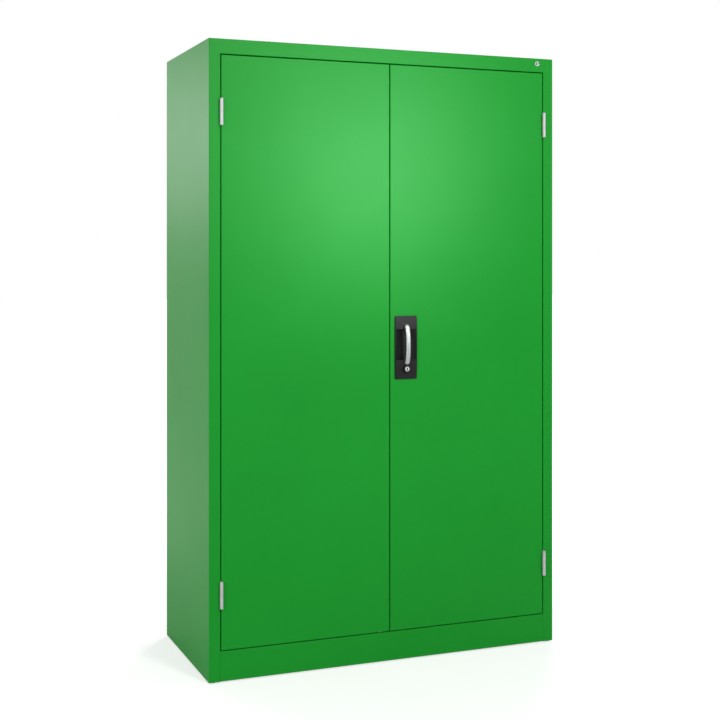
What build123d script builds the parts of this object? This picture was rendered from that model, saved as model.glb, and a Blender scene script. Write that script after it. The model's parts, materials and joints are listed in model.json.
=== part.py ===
from build123d import *
import math
import os

os.makedirs("parts", exist_ok=True)

# A two-door steel tool cabinet. Millimetres, +Z up, the doors face -Y.
# X = 0 is the middle of the cabinet and Z = 0 is the floor.

# ---- body -----------------------------------------------------------------------
width = 1200.0  # across the side panels
depth = 500.0  # from the front face to the back
height = 1950.0  # from the floor to the top
sheet = 1.2  # steel sheet of body, doors and shelves
fold_radius = 0.8  # inside radius of every fold
stile_width = 36.0  # front face of each side panel
jamb_depth = 45.0  # return behind each stile
jamb_lip = 12.0  # stiffening lip at the end of the return
rear_flange = 22.0  # flange that the back panel is welded to
header_height = 46.0  # face above the doors
header_ledge = 60.0  # underside of the header, front to back
deck_height = 94.0  # floor of the cabinet above the ground
plinth_setback = 1.0  # plinth face behind the stiles
plinth_ledge = 30.0  # underside of the plinth, front to back
deck_flange = 40.0  # flange at the back edge of top and base
anchor_spacing = 1000.0  # two wall anchor holes in the back panel
anchor_drop = 100.0  # anchor holes below the top
anchor_radius = 5.0
badge_radius = 7.5
badge_thickness = 1.0
badge_inset = 60.0  # badge centre from the right-hand side
badge_drop = 18.0  # badge centre below the top

# ---- feet -----------------------------------------------------------------------
foot_height = 3.0  # body above the floor
foot_radius = 11.0
foot_inset_x = 15.0  # foot centre from the side
foot_inset_y = 16.0  # foot centre from the front or the back
foot_edge = 1.2  # rounding of the foot disc
foot_stud_radius = 4.0
foot_stud_length = 18.0
foot_nut_flats = 13.0
foot_nut_height = 6.5
gusset_thickness = 3.0
gusset_length = 42.0  # front to back

# ---- fits -----------------------------------------------------------------------
seat_play = 0.03  # round pieces that sit fast in one another
running_play = 0.06  # radial clearance of a pin or plug that turns
slide_play = 0.3  # free clearance round sliding flat bars
bolt_play = 0.08  # radial clearance of the shoot bolts in their bracket
hole_play = 0.25  # radial clearance of screws and bolts in plain holes
overcut = 1.0  # holes are cut this far past the faces they go through

# ---- doors ----------------------------------------------------------------------
door_gap = 3.0  # joint round and between the doors
door_thickness = 22.0
door_lip = 18.0  # inner lip round each door
stiffener_width = 50.0
stiffener_depth = 17.0
stiffener_foot = 20.0
stiffener_end_gap = 20.0  # stiffener end short of the door return

# ---- hinges ---------------------------------------------------------------------
hinge_length = 81.0
hinge_barrel_radius = 5.2
hinge_pin_radius = 3.0
hinge_pin_chamfer = 0.6
hinge_axis_out = 7.5  # hinge axis in front of the door face
hinge_leaf_thickness = 1.2
hinge_leaf_depth = 28.0  # leaf behind the door face
hinge_leaf_start = 1.0  # full-height leaf starts behind the door face
hinge_knuckle_gap = 0.4  # between the two knuckles
hinge_top_inset = 173.0  # hinge centre below the top of the door
hinge_bottom_inset = 169.0  # hinge centre above the bottom of the door

# ---- door stops -----------------------------------------------------------------
buffer_thickness = 2.7  # rubber between the stop angle and the closed door
stop_height = 15.0
stop_foot = 16.0
stop_side_gap = 2.0
buffer_radius = 4.5
buffer_columns = (-500.0, -70.0, 70.0, 500.0)

# ---- shelf uprights, shelves and clips --------------------------------------------
upright_sheet = 1.5
upright_width = 30.0
upright_front = 60.0  # front upright behind the front face
upright_rear_inset = 40.0  # back of the rear upright from the back of the body
slot_width = 6.0
slot_height = 14.0
slot_pitch = 25.0
first_slot = 31.0  # lowest slot centre above the deck
slot_top_margin = 60.0
shelf_count = 4
first_shelf_slot = 13  # slot that carries the lowest shelf
slots_per_bay = 14
shelf_front = 48.0  # shelf front edge behind the front face
shelf_rear_gap = 15.0  # shelf rear edge from the back of the body
shelf_side_gap = 1.0
shelf_flange = 30.0
shelf_return = 12.0
clip_width = 18.0
clip_reach = 14.0  # ledge of the clip under the shelf
clip_thickness = 2.0
clip_plate_drop = 19.0  # plate of the clip below its ledge
clip_ledge_rise = 5.0  # top of the ledge above the slot centre
clip_tongue_width = 5.4
clip_hook_drop = 5.0  # hook behind the upright below the slot

# ---- handle set on the right-hand door ---------------------------------------------
handle_x = 55.3  # centre line of plate, bow and lock from the middle of the cabinet
plate_width = 77.3
plate_height = 202.0
plate_thickness = 6.5
plate_corner = 5.0
plate_edge = 1.5
trough_height = 98.0
trough_rise = 9.5  # trough and bow centre above the plate centre
trough_chord = 70.2  # width of the trough at the plate face
trough_depth = 17.0  # below the plate face
trough_wall = 2.2
bow_length = 130.0
bow_width = 14.4
bow_thickness = 12.0
bow_rise = 8.7  # middle of the bow in front of its ends
bow_edge = 4.0
bow_foot_inset = 0.5  # foot of the bow inside its outline
bow_screw_radius = 2.5
bow_screw_head_radius = 4.4
bow_screw_head = 3.2
bow_screw_depth = 8.0  # thread inside the bow foot

# ---- lock -----------------------------------------------------------------------
lock_drop = 68.0  # lock axis below the plate centre
collar_radius = 12.5
collar_height = 6.5  # in front of the plate face
housing_flange_radius = 7.6
housing_flange = 1.0
housing_radius = 7.0
plug_radius = 5.4
plug_recess = 0.3
key_slot_width = 3.4
key_slot_height = 8.8
key_slot_depth = 10.0
lock_nut_flats = 19.0
lock_nut_height = 4.0
case_width = 58.0
case_height = 50.0
case_front = 5.5  # front of the lock case behind the door face
case_post_radius = 4.0
case_screw_x = 24.0  # case screws from the lock axis
case_screw_z = 20.0
case_screw_radius = 2.0
case_screw_head_radius = 3.5
case_screw_head = 2.2
case_screw_bite = 4.0  # case screws in front of the door face
cover_thickness = 1.5
shank_size = 7.0  # square drive of the plug
shank_play = 0.05
cam_reach = 66.0
cam_width = 14.0
cam_hub_radius = 9.0
cam_thickness = 2.5
cam_lip_gap = 1.2  # cam behind the lips of the doors
cam_screw_radius = 2.5
cam_screw_head_radius = 5.0
cam_screw_head = 3.2
cam_screw_bite = 7.6

# ---- pinion, racks and locking rods -------------------------------------------------
gear_module = 1.5
pinion_teeth = 12
pressure_angle = math.radians(20.0)
pinion_addendum = 1.2
rack_addendum = 1.0
gear_dedendum = 1.5
tooth_thinning = 0.35  # taken off each tooth at the pitch line
teeth_behind = 6  # rack teeth that come into mesh as the lock turns
teeth_ahead = 2
rod_width = 10.0
rod_thickness = 4.0
rod_trough_gap = 1.3  # rods behind the back of the trough
rod_short = 0.2  # rod end inside the door end when unlocked
guide_width = 24.0
guide_height = 24.0
guide_cover = 3.0
guide_end_inset = 120.0  # outer guides from the door ends
guide_lock_inset = 330.0  # inner guides from the lock axis

# ---- shoot bolts of the left-hand door ----------------------------------------------
bolt_x = 30.0  # bolt axis from the middle of the cabinet
bolt_layer = 14.0  # bolt axis behind the door face
bolt_radius = 4.0
bolt_length = 150.0
bracket_width = 24.0
bracket_sheet = 1.5
bracket_near = 30.0  # near and far end of the bracket from the door end
bracket_far = 130.0
bracket_depth = 19.0
knob_radius = 6.5
knob_length = 10.0
knob_neck_radius = 2.5
knob_neck = 6.0  # neck between bolt and knob
knob_edge = 1.5

# ---- worked out from the values above -----------------------------------------------
fold_outside = fold_radius + sheet
half_sheet = sheet / 2
plate_face = -plate_thickness  # distances behind the door face; negative is in front
bow_reach = plate_thickness + bow_thickness + bow_rise
front_y = -(depth - bow_reach) / 2  # keeps the origin under the middle of the whole
side_x = width / 2
post_x = side_x - stile_width
head_z = height - header_height
door_outer = post_x - door_gap
door_inner = door_gap / 2
door_bottom = deck_height + door_gap
door_top = head_z - door_gap
hinge_x = post_x - door_gap / 2
hinge_levels = {"top": door_top - hinge_top_inset, "bottom": door_bottom + hinge_bottom_inset}
plate_z = (door_bottom + door_top) / 2
trough_z = plate_z + trough_rise
lock_z = plate_z - lock_drop
bow_foot_z = bow_length / 2 - bow_width / 2
trough_radius = ((trough_chord / 2) ** 2 + trough_depth**2) / (2 * trough_depth)
trough_axis = plate_face + trough_depth - trough_radius
housing_face = plate_face - collar_height - housing_flange
rod_layer = plate_face + trough_depth + trough_wall + rod_trough_gap
layer_front = rod_layer - slide_play
layer_back = rod_layer + rod_thickness + slide_play
cover_back = layer_back + cover_thickness
cam_front = door_thickness + cam_lip_gap
cam_back = cam_front + cam_thickness
pitch_radius = gear_module * pinion_teeth / 2
gear_pitch = math.pi * gear_module
rod_near = pitch_radius + gear_dedendum
rod_far = rod_near + rod_width
rack_tip = pitch_radius - rack_addendum
slot_count = int((height - slot_top_margin - deck_height - first_slot) / slot_pitch)
stop_face = door_thickness + slide_play + buffer_thickness
upright_rear = depth - upright_rear_inset - upright_width
shelf_rear = depth - shelf_rear_gap
upright_centres = (upright_front + upright_width / 2, upright_rear + upright_width / 2)


# ---- helpers ----------------------------------------------------------------------
def behind(distance):
    """Y of a plane this far behind the front face."""
    return front_y + distance


def block(x, y, z):
    """A box from its low and high ends; y counts from the front face."""
    centre = Pos((x[0] + x[1]) / 2, behind((y[0] + y[1]) / 2), (z[0] + z[1]) / 2)
    return centre * Box(x[1] - x[0], y[1] - y[0], z[1] - z[0])


def post(x, y, z, radius):
    """An upright cylinder between two heights."""
    middle = Pos(x, behind(y), (z[0] + z[1]) / 2)
    return middle * Cylinder(radius, z[1] - z[0])


def spindle(x, z, y, radius):
    """A cylinder that runs from front to back."""
    middle = Pos(x, behind((y[0] + y[1]) / 2), z)
    return middle * Rot(90, 0, 0) * Cylinder(radius, y[1] - y[0])


def slab(outline, y):
    """A front-view outline made as thick as the two distances say."""
    return extrude(Plane.XZ.offset(-behind(y[1])) * outline, y[1] - y[0])


def folded(points, thickness=sheet):
    """The section of a folded sheet from the middle line of its faces."""
    line = FilletPolyline(*points, radius=fold_radius + thickness / 2)
    return trace(line, line_width=thickness)


def section_along_x(points, x):
    """A folded section of (distance behind the face, height) points along X."""
    outline = folded([(behind(y), z) for y, z in points])
    return extrude(Plane.YZ.offset(x[0]) * outline, x[1] - x[0])


def section_along_z(points, z, thickness=sheet):
    """A folded section of (x, distance behind the face) points, stood upright."""
    outline = folded([(x, behind(y)) for x, y in points], thickness)
    return extrude(Plane.XY.offset(z[0]) * outline, z[1] - z[0])


def mirrored(shape):
    """The same piece on the other side of the cabinet."""
    return mirror(shape, about=Plane.YZ)


def upside_down(shape, level):
    """The same piece turned over about a height."""
    return mirror(shape, about=Plane.XY.offset(level))


def on_side(shape, side):
    """A piece drawn on the right, put on the side it is for."""
    return shape if side > 0 else mirrored(shape)


def write(name, shape):
    """Write one sub-part; a list is a group of identical pieces."""
    whole = Compound(shape) if isinstance(shape, list) else shape
    export_step(whole, f"parts/{name}.step")


# ---- body -----------------------------------------------------------------------
def top_edge_waste():
    """What the rounded top front edge leaves off a square one."""
    corner = block((-side_x, side_x), (0, fold_outside), (height - fold_outside, height))
    centre = Pos(0, behind(fold_outside), height - fold_outside)
    return corner - centre * Rot(0, 90, 0) * Cylinder(fold_outside, width)


def side_panel():
    """Right-hand side: web, stile with its return and lip, and rear flange."""
    web_x = side_x - half_sheet
    back = [
        (web_x, half_sheet),
        (web_x, depth - sheet - half_sheet),
        (side_x - rear_flange, depth - sheet - half_sheet),
    ]
    jamb = [
        (post_x + jamb_lip, jamb_depth - half_sheet),
        (post_x + half_sheet, jamb_depth - half_sheet),
        (post_x + half_sheet, half_sheet),
    ]
    below_head = section_along_z(jamb + back, (foot_height, head_z))
    beside_header = section_along_z([(post_x, half_sheet)] + back, (head_z, height))
    return below_head + beside_header - top_edge_waste()


def side_ear(y, top):
    """Sheet from the middle of a panel to the right-hand web, clear of its folds."""
    ear = block((post_x, side_x - sheet), y, (top - sheet, top))
    outer = ear.edges().filter_by(Axis.Z).sort_by(Axis.X)[-2:]
    return fillet(outer, 2 * fold_radius)


def top_panel():
    """Top sheet with the header face, its underside and the rear flange."""
    rear_y = depth - sheet - half_sheet
    section = [
        (header_ledge, head_z + half_sheet),
        (half_sheet, head_z + half_sheet),
        (half_sheet, height - half_sheet),
        (rear_y, height - half_sheet),
        (rear_y, height - deck_flange),
    ]
    ear = side_ear((sheet, depth - 2 * sheet), height)
    panel = section_along_x(section, (-post_x, post_x)) + ear + mirrored(ear)
    panel -= top_edge_waste()
    return panel - keeper_holes((head_z, head_z + sheet), handle_x + rod_near + rod_width / 2)


def base_panel():
    """Deck with the plinth face, its underside and the rear flange."""
    rear_y = depth - sheet - half_sheet
    front = plinth_setback + half_sheet
    section = [
        (plinth_ledge, foot_height + half_sheet),
        (front, foot_height + half_sheet),
        (front, deck_height - half_sheet),
        (rear_y, deck_height - half_sheet),
        (rear_y, deck_height - deck_flange),
    ]
    ear = side_ear((jamb_depth, depth - 2 * sheet), deck_height)
    panel = section_along_x(section, (-post_x, post_x)) + ear + mirrored(ear)
    z = (deck_height - sheet, deck_height)
    return panel - keeper_holes(z, handle_x - rod_near - rod_width / 2)


def keeper_holes(z, rod_x):
    """The holes that take a locking rod and a shoot bolt."""
    reach = (z[0] - sheet, z[1] + sheet)
    half = rod_width / 2 + 4 * slide_play
    rod_hole = block(
        (rod_x - half, rod_x + half),
        (rod_layer - 4 * slide_play, rod_layer + rod_thickness + 4 * slide_play),
        reach,
    )
    return rod_hole + post(-bolt_x, bolt_layer, reach, bolt_radius + 4 * hole_play)


def back_panel():
    """Flat sheet with two wall anchor holes."""
    panel = block((-side_x, side_x), (depth - sheet, depth), (foot_height, height))
    for side in (-1, 1):
        panel -= spindle(
            side * anchor_spacing / 2,
            height - anchor_drop,
            (depth - 2 * sheet, depth + sheet),
            anchor_radius,
        )
    return panel


def badge_plate():
    """Plain round cover disc on the header."""
    return spindle(side_x - badge_inset, height - badge_drop, (-badge_thickness, 0), badge_radius)


def door_stop():
    """Angle under the header that the doors close against."""
    section = [
        (stop_face + half_sheet, head_z - stop_height),
        (stop_face + half_sheet, head_z - half_sheet),
        (stop_face + stop_foot, head_z - half_sheet),
    ]
    half = post_x - stop_side_gap
    return section_along_x(section, (-half, half))


def stop_buffers():
    """Rubber pads on both door stops, just clear of the closed doors."""
    level = head_z - stop_height / 2 - door_gap / 2
    span = (door_thickness + slide_play, stop_face)
    upper = [spindle(x, level, span, buffer_radius) for x in buffer_columns]
    return upper + [upside_down(pad, plate_z) for pad in upper]


# ---- feet -----------------------------------------------------------------------
def gusset(rear):
    """Plate welded into a bottom corner of the body, drilled for the foot."""
    y = (depth - 2 * sheet - gusset_length, depth - 2 * sheet) if rear else (sheet, gusset_length)
    plate = block(
        (post_x + sheet, side_x - sheet), y, (foot_height, foot_height + gusset_thickness)
    )
    plate = fillet(plate.edges().filter_by(Axis.Z), 2 * fold_radius)
    foot_y = depth - foot_inset_y if rear else foot_inset_y
    reach = (0, foot_height + 2 * gusset_thickness)
    return plate - post(side_x - foot_inset_x, foot_y, reach, foot_stud_radius + hole_play)


def foot(rear):
    """Round foot with its stud."""
    x = side_x - foot_inset_x
    y = depth - foot_inset_y if rear else foot_inset_y
    disc = post(x, y, (0, foot_height), foot_radius)
    disc = fillet(disc.edges().filter_by(GeomType.CIRCLE), foot_edge)
    return disc + post(x, y, (foot_height / 2, foot_height + foot_stud_length), foot_stud_radius)


def foot_nut(rear):
    """Hexagon nut on the foot stud."""
    y = depth - foot_inset_y if rear else foot_inset_y
    base = foot_height + gusset_thickness
    hexagon = RegularPolygon(foot_nut_flats / 2, 6, major_radius=False)
    nut = Pos(side_x - foot_inset_x, behind(y), base) * extrude(hexagon, foot_nut_height)
    reach = (base - overcut, base + foot_nut_height + overcut)
    return nut - post(side_x - foot_inset_x, y, reach, foot_stud_radius + seat_play)


# ---- hinges ---------------------------------------------------------------------
def hinge_half(level, of_door):
    """One leaf and its knuckle; the frame has the lower one, the door the upper one."""
    low, high = level - hinge_length / 2, level + hinge_length / 2
    middle_gap = hinge_knuckle_gap / 2
    knuckle = (level + middle_gap, high) if of_door else (low, level - middle_gap)
    if of_door:
        leaf_x = (door_outer, door_outer + hinge_leaf_thickness)
    else:
        leaf_x = (post_x - hinge_leaf_thickness, post_x)
    half = post(hinge_x, -hinge_axis_out, knuckle, hinge_barrel_radius)
    half += block(leaf_x, (-hinge_axis_out, hinge_leaf_start), knuckle)
    half += block(leaf_x, (hinge_leaf_start, hinge_leaf_depth), (low, high))
    bore = hinge_pin_radius + (running_play if of_door else seat_play)
    return half - post(hinge_x, -hinge_axis_out, (low - overcut, high + overcut), bore)


def hinge_pin(level):
    """Pin through both knuckles."""
    half = hinge_length / 2
    pin = post(hinge_x, -hinge_axis_out, (level - half, level + half), hinge_pin_radius)
    return chamfer(pin.edges().filter_by(GeomType.CIRCLE), hinge_pin_chamfer)


# ---- shelving -------------------------------------------------------------------
def slot_level(index):
    """Height of the centre of a slot in the uprights."""
    return deck_height + first_slot + index * slot_pitch


def shelf_bottom(number):
    """Underside of a shelf, counted from 0."""
    return slot_level(first_shelf_slot + number * slots_per_bay) + clip_ledge_rise


def upright(start):
    """Slotted channel between the deck and the top, open towards the side panel."""
    half = upright_sheet / 2
    section = [
        (side_x - sheet, start + half),
        (post_x + half, start + half),
        (post_x + half, start + upright_width - half),
        (side_x - sheet, start + upright_width - half),
    ]
    channel = section_along_z(section, (deck_height, height - sheet), upright_sheet)
    middle = start + upright_width / 2
    slots = [
        block(
            (post_x - overcut, post_x + upright_sheet + overcut),
            (middle - slot_width / 2, middle + slot_width / 2),
            (slot_level(i) - slot_height / 2, slot_level(i) + slot_height / 2),
        )
        for i in range(slot_count)
    ]
    return channel - slots


def shelf(number):
    """Shelf tray with flanges all round and a return at front and back."""
    low = shelf_bottom(number)
    high = low + shelf_flange
    half = post_x - shelf_side_gap
    tray = block((-half, half), (shelf_front, shelf_rear), (low, high))
    tray = fillet(tray.faces().sort_by(Axis.Z)[-1].edges().filter_by(Axis.X), fold_outside)
    inside = (-half + sheet, half - sheet)
    tray -= block(
        inside, (shelf_front + sheet, shelf_rear - sheet), (low - overcut, high - sheet)
    )
    tray += block(inside, (shelf_front, shelf_front + shelf_return), (low, low + sheet))
    return tray + block(inside, (shelf_rear - shelf_return, shelf_rear), (low, low + sheet))


def shelf_clip(number, middle):
    """Clip hooked into a slot of an upright, with a ledge under the shelf."""
    slot = slot_level(first_shelf_slot + number * slots_per_bay)
    ledge = slot + clip_ledge_rise
    half = clip_width / 2
    tongue_half = clip_tongue_width / 2
    inner = post_x - clip_thickness
    web_back = post_x + upright_sheet
    tongue_top = ledge - clip_thickness
    slot_bottom = slot - slot_height / 2
    clip = block(
        (post_x - clip_reach, post_x), (middle - half, middle + half), (tongue_top, ledge)
    )
    clip += block(
        (inner, post_x), (middle - half, middle + half), (ledge - clip_plate_drop, ledge)
    )
    tongue_y = (middle - tongue_half, middle + tongue_half)
    clip += block((inner, web_back + clip_thickness), tongue_y, (slot_bottom, tongue_top))
    return clip + block(
        (web_back, web_back + clip_thickness), tongue_y, (slot_bottom - clip_hook_drop, tongue_top)
    )


def shelf_clips():
    """Four clips for every shelf."""
    clips = []
    for number in range(shelf_count):
        for middle in upright_centres:
            clip = shelf_clip(number, middle)
            clips += [clip, mirrored(clip)]
    return clips


# ---- doors ----------------------------------------------------------------------
def door_pan():
    """Right-hand door: face with four returns and an inner lip all round."""
    x = (door_inner, door_outer)
    z = (door_bottom, door_top)
    pan = block(x, (0, door_thickness), z)
    pan = fillet(pan.faces().sort_by(Axis.Y)[0].edges(), fold_outside)
    hollow = block(
        (x[0] + sheet, x[1] - sheet),
        (sheet, door_thickness - sheet),
        (z[0] + sheet, z[1] - sheet),
    )
    hollow = fillet(hollow.faces().sort_by(Axis.Y)[0].edges(), fold_radius)
    window = block(
        (x[0] + door_lip, x[1] - door_lip),
        (door_thickness / 2, door_thickness + overcut),
        (z[0] + door_lip, z[1] - door_lip),
    )
    return pan - hollow - window


def door_right():
    """Door pan cut for the trough, the lock, the screws and the two rods."""
    trough_half = math.sqrt((trough_radius + trough_wall) ** 2 - trough_axis**2) + slide_play
    cut_half = trough_height / 2 + trough_wall + slide_play
    through = (-overcut, sheet + overcut)
    door = door_pan() - block(
        (handle_x - trough_half, handle_x + trough_half),
        through,
        (trough_z - cut_half, trough_z + cut_half),
    )
    door -= spindle(handle_x, lock_z, through, housing_radius + hole_play)
    for x, z in case_screw_places():
        door -= spindle(x, z, through, case_screw_radius + hole_play)
    for z in bow_screw_levels():
        door -= spindle(handle_x, z, through, bow_screw_radius + hole_play)
    for side, end in ((1, door_top), (-1, door_bottom)):
        near = handle_x + side * (rod_near - slide_play)
        far = handle_x + side * (rod_far + slide_play)
        slot_z = (end - 2 * sheet, end + 2 * sheet)
        door -= block(sorted((near, far)), (layer_front, layer_back), slot_z)
    return door


def door_left():
    """Door pan with a hole for a shoot bolt at each end."""
    door = mirrored(door_pan())
    for end in (door_bottom, door_top):
        reach = (end - 2 * sheet, end + 2 * sheet)
        door -= post(-bolt_x, bolt_layer, reach, bolt_radius + 2 * hole_play)
    return door


def stiffener():
    """Top-hat channel down the middle of a door."""
    middle = (door_inner + door_outer) / 2
    half = stiffener_width / 2
    near, far = sheet + half_sheet, sheet + stiffener_depth - half_sheet
    section = [
        (middle - half - stiffener_foot, near),
        (middle - half, near),
        (middle - half, far),
        (middle + half, far),
        (middle + half, near),
        (middle + half + stiffener_foot, near),
    ]
    return section_along_z(
        section, (door_bottom + stiffener_end_gap, door_top - stiffener_end_gap)
    )


# ---- handle set -----------------------------------------------------------------
def bow_screw_levels():
    """Heights of the two screws that hold the bow."""
    return (trough_z - bow_foot_z, trough_z + bow_foot_z)


def case_screw_places():
    """The four screws of the lock case, as (x, z)."""
    return [
        (handle_x + i * case_screw_x, lock_z + k * case_screw_z) for i in (-1, 1) for k in (-1, 1)
    ]


def trough_body(radius, half_height):
    """Upright cylinder about the axis of the trough."""
    return post(handle_x, trough_axis, (trough_z - half_height, trough_z + half_height), radius)


def handle_plate():
    """Moulded plate with a hollow for the fingers and a collar round the lock."""
    outline = Pos(handle_x, plate_z) * RectangleRounded(plate_width, plate_height, plate_corner)
    plate = slab(outline, (plate_face, 0))
    plate = fillet(plate.faces().sort_by(Axis.Y)[0].edges(), plate_edge)
    shell = trough_body(trough_radius + trough_wall, trough_height / 2 + trough_wall)
    rear_half = block(
        (handle_x - plate_width, handle_x + plate_width),
        (plate_face / 2, trough_radius),
        (trough_z - trough_height, trough_z + trough_height),
    )
    plate += shell & rear_half
    plate += spindle(handle_x, lock_z, (plate_face - collar_height, 0), collar_radius)
    plate -= trough_body(trough_radius, trough_height / 2)
    through = (plate_face - collar_height - overcut, overcut)
    plate -= spindle(handle_x, lock_z, through, housing_radius + 2 * seat_play)
    for z in bow_screw_levels():
        plate -= spindle(handle_x, z, through, bow_screw_radius + hole_play)
    for x, z in case_screw_places():
        reach = (-case_screw_bite - slide_play, overcut)
        plate -= spindle(x, z, reach, case_screw_radius + seat_play)
    return plate


def bow_handle():
    """Curved pull bar with round ends and a foot at each end."""
    half = bow_length / 2
    end_y, middle_y = plate_face - bow_thickness / 2, plate_face - bow_thickness / 2 - bow_rise
    line = ThreePointArc(
        (behind(end_y), trough_z - half),
        (behind(middle_y), trough_z),
        (behind(end_y), trough_z + half),
    )
    band = trace(line, line_width=bow_thickness)
    bar = extrude(Plane.YZ.offset(handle_x - bow_width) * band, 2 * bow_width)
    outline = Pos(handle_x, trough_z) * Rot(0, 0, 90) * SlotOverall(bow_length, bow_width)
    bar = bar & slab(outline, (-2 * bow_reach, plate_face))
    bar = fillet(bar.faces().sort_by(Axis.Y)[0].edges(), bow_edge)
    bow_foot_radius = bow_width / 2 - bow_foot_inset
    foot_y = (plate_face - bow_thickness / 2, plate_face)
    hole_y = (plate_face - bow_screw_depth, 0)
    for z in bow_screw_levels():
        bar += spindle(handle_x, z, foot_y, bow_foot_radius)
        bar -= spindle(handle_x, z, hole_y, bow_screw_radius + seat_play)
    return bar


def bow_screw(z):
    """Pan-head screw from inside the door into the bow."""
    shank = spindle(handle_x, z, (plate_face - bow_screw_depth + slide_play, sheet), bow_screw_radius)
    return shank + spindle(handle_x, z, (sheet, sheet + bow_screw_head), bow_screw_head_radius)


# ---- lock -----------------------------------------------------------------------
def lock_housing():
    """Flanged sleeve of the lock cylinder."""
    flange_back = housing_face + housing_flange
    sleeve = spindle(handle_x, lock_z, (housing_face, flange_back), housing_flange_radius)
    sleeve += spindle(handle_x, lock_z, (housing_face, case_front), housing_radius)
    bore = plug_radius + running_play
    return sleeve - spindle(handle_x, lock_z, (housing_face - overcut, case_front + overcut), bore)


def lock_nut():
    """Flat hexagon nut behind the door face."""
    outline = Pos(handle_x, lock_z) * RegularPolygon(lock_nut_flats / 2, 6, major_radius=False)
    nut = slab(outline, (sheet, sheet + lock_nut_height))
    return nut - spindle(handle_x, lock_z, (0, case_front), housing_radius + seat_play)


def lock_case():
    """Cast case with two rod channels and the pinion pocket, open at the back."""
    half_w, half_h = case_width / 2, case_height / 2
    case = block(
        (handle_x - half_w, handle_x + half_w),
        (case_front, layer_back),
        (lock_z - half_h, lock_z + half_h),
    )
    for side in (-1, 1):
        near = handle_x + side * (rack_tip - slide_play)
        far = handle_x + side * (rod_far + slide_play)
        channel_z = (lock_z - case_height, lock_z + case_height)
        case -= block(sorted((near, far)), (layer_front, door_thickness), channel_z)
    pocket = pitch_radius + pinion_addendum + 2 * slide_play
    case -= spindle(handle_x, lock_z, (layer_front, door_thickness), pocket)
    case -= spindle(handle_x, lock_z, (0, door_thickness), plug_radius + slide_play)
    for x, z in case_screw_places():
        case += spindle(x, z, (sheet, case_front), case_post_radius)
        case -= spindle(x, z, (0, door_thickness), case_screw_radius + hole_play)
    return case


def lock_case_cover():
    """Cover plate of the lock case."""
    half_w, half_h = case_width / 2, case_height / 2
    cover = block(
        (handle_x - half_w, handle_x + half_w),
        (layer_back, cover_back),
        (lock_z - half_h, lock_z + half_h),
    )
    cover -= spindle(handle_x, lock_z, (0, 2 * door_thickness), plug_radius + slide_play)
    for x, z in case_screw_places():
        cover -= spindle(x, z, (0, 2 * door_thickness), case_screw_radius + hole_play)
    return cover


def case_screw(x, z):
    """Screw through cover, case and door into the handle plate."""
    shank = spindle(x, z, (-case_screw_bite, cover_back), case_screw_radius)
    return shank + spindle(x, z, (cover_back, cover_back + case_screw_head), case_screw_head_radius)


def square_drive(size, y):
    """Square bar on the lock axis."""
    half = size / 2
    return block((handle_x - half, handle_x + half), y, (lock_z - half, lock_z + half))


def lock_plug():
    """Cylinder plug with its key slot and the square shank behind it."""
    face = housing_face + plug_recess
    plug = spindle(handle_x, lock_z, (face, layer_front), plug_radius)
    plug += square_drive(shank_size, (layer_front, cam_back))
    slot = Pos(handle_x, lock_z) * Rot(0, 0, 90) * SlotOverall(key_slot_height, key_slot_width)
    plug -= slab(slot, (face - overcut, face + key_slot_depth))
    reach = (cam_back - cam_screw_bite - slide_play, cam_back + overcut)
    return plug - spindle(handle_x, lock_z, reach, cam_screw_radius + seat_play)


def tooth_half_angle(radius):
    """Half the angle that an involute tooth takes up at a radius."""
    base = pitch_radius * math.cos(pressure_angle)
    at_pitch = math.tan(pressure_angle) - pressure_angle
    angle = math.acos(min(1.0, base / radius))
    thickness = gear_pitch / 2 - tooth_thinning
    return thickness / (2 * pitch_radius) + at_pitch - (math.tan(angle) - angle)


def lock_pinion():
    """Involute pinion on the square shank, with a tooth towards each rack."""
    tip = pitch_radius + pinion_addendum
    base = pitch_radius * math.cos(pressure_angle)
    root = pitch_radius - gear_dedendum
    flank = [root, base, (2 * base + tip) / 3, (base + 2 * tip) / 3, tip]
    points = []
    for tooth in range(pinion_teeth):
        middle = 2 * math.pi * tooth / pinion_teeth
        rising = [(r, middle - tooth_half_angle(max(r, base))) for r in flank]
        falling = [(r, middle + tooth_half_angle(max(r, base))) for r in reversed(flank)]
        points += [(r * math.cos(a), r * math.sin(a)) for r, a in rising + falling]
    outline = Pos(handle_x, lock_z) * make_face(Polyline(*points, close=True))
    wheel = slab(outline, (rod_layer, rod_layer + rod_thickness))
    reach = (0, 2 * door_thickness)
    return wheel - square_drive(shank_size + 2 * shank_play, reach)


def lock_cam():
    """Tongue that swings behind the lip of the left-hand door."""
    hub = spindle(handle_x, lock_z, (cover_back + slide_play, cam_back), cam_hub_radius)
    length = cam_reach + cam_width / 2
    middle = lock_z + cam_reach / 2 - cam_width / 4
    outline = Pos(handle_x, middle) * Rot(0, 0, 90) * SlotOverall(length, cam_width)
    cam = hub + slab(outline, (cam_front, cam_back))
    return cam - square_drive(shank_size + 2 * shank_play, (0, 2 * door_thickness))


def cam_screw():
    """Screw and washer head that hold the cam on the shank."""
    shank = spindle(handle_x, lock_z, (cam_back - cam_screw_bite, cam_back), cam_screw_radius)
    return shank + spindle(handle_x, lock_z, (cam_back, cam_back + cam_screw_head), cam_screw_head_radius)


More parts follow.
